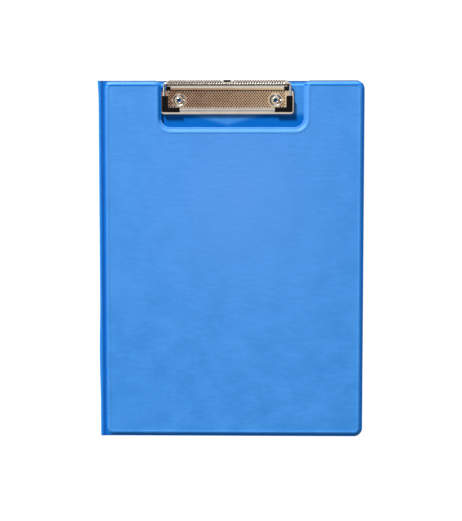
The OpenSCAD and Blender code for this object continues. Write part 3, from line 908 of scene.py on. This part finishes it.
# ---- Corner grips ----
# Black soft-plastic corners moulded over the wire: an upright leg and a shorter lower leg.
grip_black, tree, shader, coord = start_material("grip_black")
pits = noise(tree, coord.outputs["Object"], 1800, 4, 0.6)
black = two_colours(tree, pits, (0.0015, 0.0015, 0.002), (0.004, 0.004, 0.005))
tree.links.new(black, shader.inputs["Base Color"])
tree.links.new(bump(tree, pits, 0.00004, strength=0.5), shader.inputs["Normal"])
shader.inputs["Roughness"].default_value = 0.35
shader.inputs["Specular IOR Level"].default_value = 0.12
for side, node in ((-1, "grip_left"), (1, "grip_right")):
    low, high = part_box(node)
    outer = low[0] if side < 0 else high[0]
    clear_selection()
    bpy.ops.mesh.primitive_cube_add(size=1, location=[(a + b) / 2 for a, b in zip(low, high)])
    grip = bpy.context.object
    grip.name = grip.data.name = node + "_moulded"
    grip.scale = [b - a for a, b in zip(low, high)]
    make_shape_real(grip)
    bpy.ops.object.mode_set(mode="EDIT")
    inner_x, leg_y = outer - side * 5.4 * mm, low[1] + 3.9 * mm
    for at, along in (((inner_x, 0, 0), (1, 0, 0)), ((0, leg_y, 0), (0, 1, 0))):
        bpy.ops.mesh.select_all(action="SELECT")
        bpy.ops.mesh.bisect(plane_co=at, plane_no=along)
    pick(grip, "FACE", lambda f: (middle(f).x - inner_x) * side < -1e-5 and middle(f).y > leg_y + 1e-5)
    bpy.ops.mesh.delete(type="FACE")
    pick(grip, "EDGE", lambda e: len(e.link_faces) < 2)
    bpy.ops.mesh.fill()
    bpy.ops.mesh.select_all(action="SELECT")
    bpy.ops.mesh.normals_make_consistent(inside=False)
    bpy.ops.object.mode_set(mode="OBJECT")
    apply_modifier(grip, "BEVEL", width=0.9 * mm, segments=4, limit_method="ANGLE")
    close_up(grip, 45)
    grip.data.materials.append(grip_black)
    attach(grip, "bail")
    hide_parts(node)

# ---- Table, light and camera ----
# A white table under soft light from above the clip and to its left, seen from nearly overhead.
clear_selection()
bpy.ops.mesh.primitive_plane_add(size=60, location=(0, 0, -0.0002))
table = bpy.context.object
table.name = "table_top"
white, tree, shader, coord = start_material("table_white")
shader.inputs["Base Color"].default_value = (0.12, 0.12, 0.12, 1)
shader.inputs["Roughness"].default_value = 0.9
shader.inputs["Emission Color"].default_value = (1, 1, 1, 1)
shader.inputs["Emission Strength"].default_value = 1.0
table.data.materials.append(white)

world = bpy.data.worlds.new("studio")
bpy.context.scene.world = world
world.use_nodes = True
sky = world.node_tree
way_up = sky.nodes.new("ShaderNodeTexCoord")
axes = sky.nodes.new("ShaderNodeSeparateXYZ")
sky.links.new(way_up.outputs["Generated"], axes.inputs[0])


def across_sky(value, start, end, low, high):
    """Mixes two colours (or results) as a value of the sky's direction goes from start to end."""
    span = sky.nodes.new("ShaderNodeMapRange")
    span.inputs["From Min"].default_value = start
    span.inputs["From Max"].default_value = end
    sky.links.new(value, span.inputs["Value"])
    return mix_colours(sky, span.outputs["Result"], low, high)


side = sky.nodes.new("ShaderNodeVectorMath")
side.operation = "DOT_PRODUCT"
side.inputs[1].default_value = (-0.45, 0.89, 0)
sky.links.new(way_up.outputs["Generated"], side.inputs[0])
overhead = across_sky(axes.outputs["X"], -0.02, 0.018, (0.38, 0.20, 0.13), (0.92, 0.76, 0.50))
overhead = across_sky(axes.outputs["Y"], 0.0, 0.05, (0.80, 0.77, 0.73), overhead)
low_sky = across_sky(side.outputs["Value"], -0.6, 0.6, (0.06, 0.10, 0.16), (0.55, 0.62, 0.70))
near_side = across_sky(axes.outputs["X"], -0.22, -0.14, low_sky, (0.30, 0.25, 0.18))
near_side = across_sky(axes.outputs["X"], 0.14, 0.22, near_side, low_sky)
low_sky = across_sky(axes.outputs["Y"], -0.5, -0.3, near_side, low_sky)
walls = across_sky(axes.outputs["Z"], 0.45, 0.62, low_sky, (0.05, 0.06, 0.075))
front = across_sky(axes.outputs["Y"], -0.85, -0.6, walls, (0.80, 0.77, 0.73))
front = across_sky(axes.outputs["X"], 0.14, 0.22, front, walls)
front = across_sky(axes.outputs["X"], -0.22, -0.14, walls, front)
front = across_sky(axes.outputs["Y"], -0.1, 0.0, front, walls)
back = across_sky(axes.outputs["X"], -0.22, -0.14, walls, (0.85, 0.84, 0.82))
back = across_sky(axes.outputs["X"], 0.14, 0.22, back, walls)
back = across_sky(axes.outputs["Y"], 0.2, 0.4, front, back)
back = across_sky(axes.outputs["Z"], 0.55, 0.65, low_sky, back)
whole = across_sky(axes.outputs["Z"], 0.93, 0.975, back, overhead)
sky.links.new(whole, sky.nodes["Background"].inputs["Color"])
sky.nodes["Background"].inputs["Strength"].default_value = 1.0


def soft_light(name, way, distance, size, power, colour=(1, 1, 1)):
    """Area light at the given direction and distance from the clipboard, aimed at its middle."""
    clear_selection()
    place = [w * distance for w in way]
    bpy.ops.object.light_add(type="AREA", location=place)
    lamp = bpy.context.object
    lamp.name = name
    lamp.data.size = size
    lamp.data.energy = power
    lamp.data.color = colour
    flat = (way[0] ** 2 + way[1] ** 2) ** 0.5
    lamp.rotation_euler = (atan2(flat, way[2]), 0, atan2(way[0], -way[1]))
    return lamp


soft_light("window", (-0.41, 0.81, 0.42), 6.0, 0.8, 755)
soft_light("strip", (-0.7, 0.12, 0.7), 2.0, 0.22, 1.6, (0.9, 0.97, 1.0))

# the camera leans a little from overhead, and takes in view_width metres across the folder
distance, lean_y, lean_x = 0.95, radians(3.65), radians(1.0)
view_width = 0.4113825
camera = bpy.data.cameras.new("camera")
camera.sensor_fit = "HORIZONTAL"
camera.sensor_width = 36
camera.lens = camera.sensor_width * distance / view_width
eye = bpy.data.objects.new("camera", camera)
bpy.context.scene.collection.objects.link(eye)
eye.location = (
    -0.0002 + distance * sin(lean_x), -0.0004 + distance * sin(lean_y), 0.005 + distance * cos(lean_y)
)
eye.rotation_euler = (-lean_y, lean_x, 0)
bpy.context.scene.camera = eye
bpy.context.scene.view_settings.view_transform = "Standard"
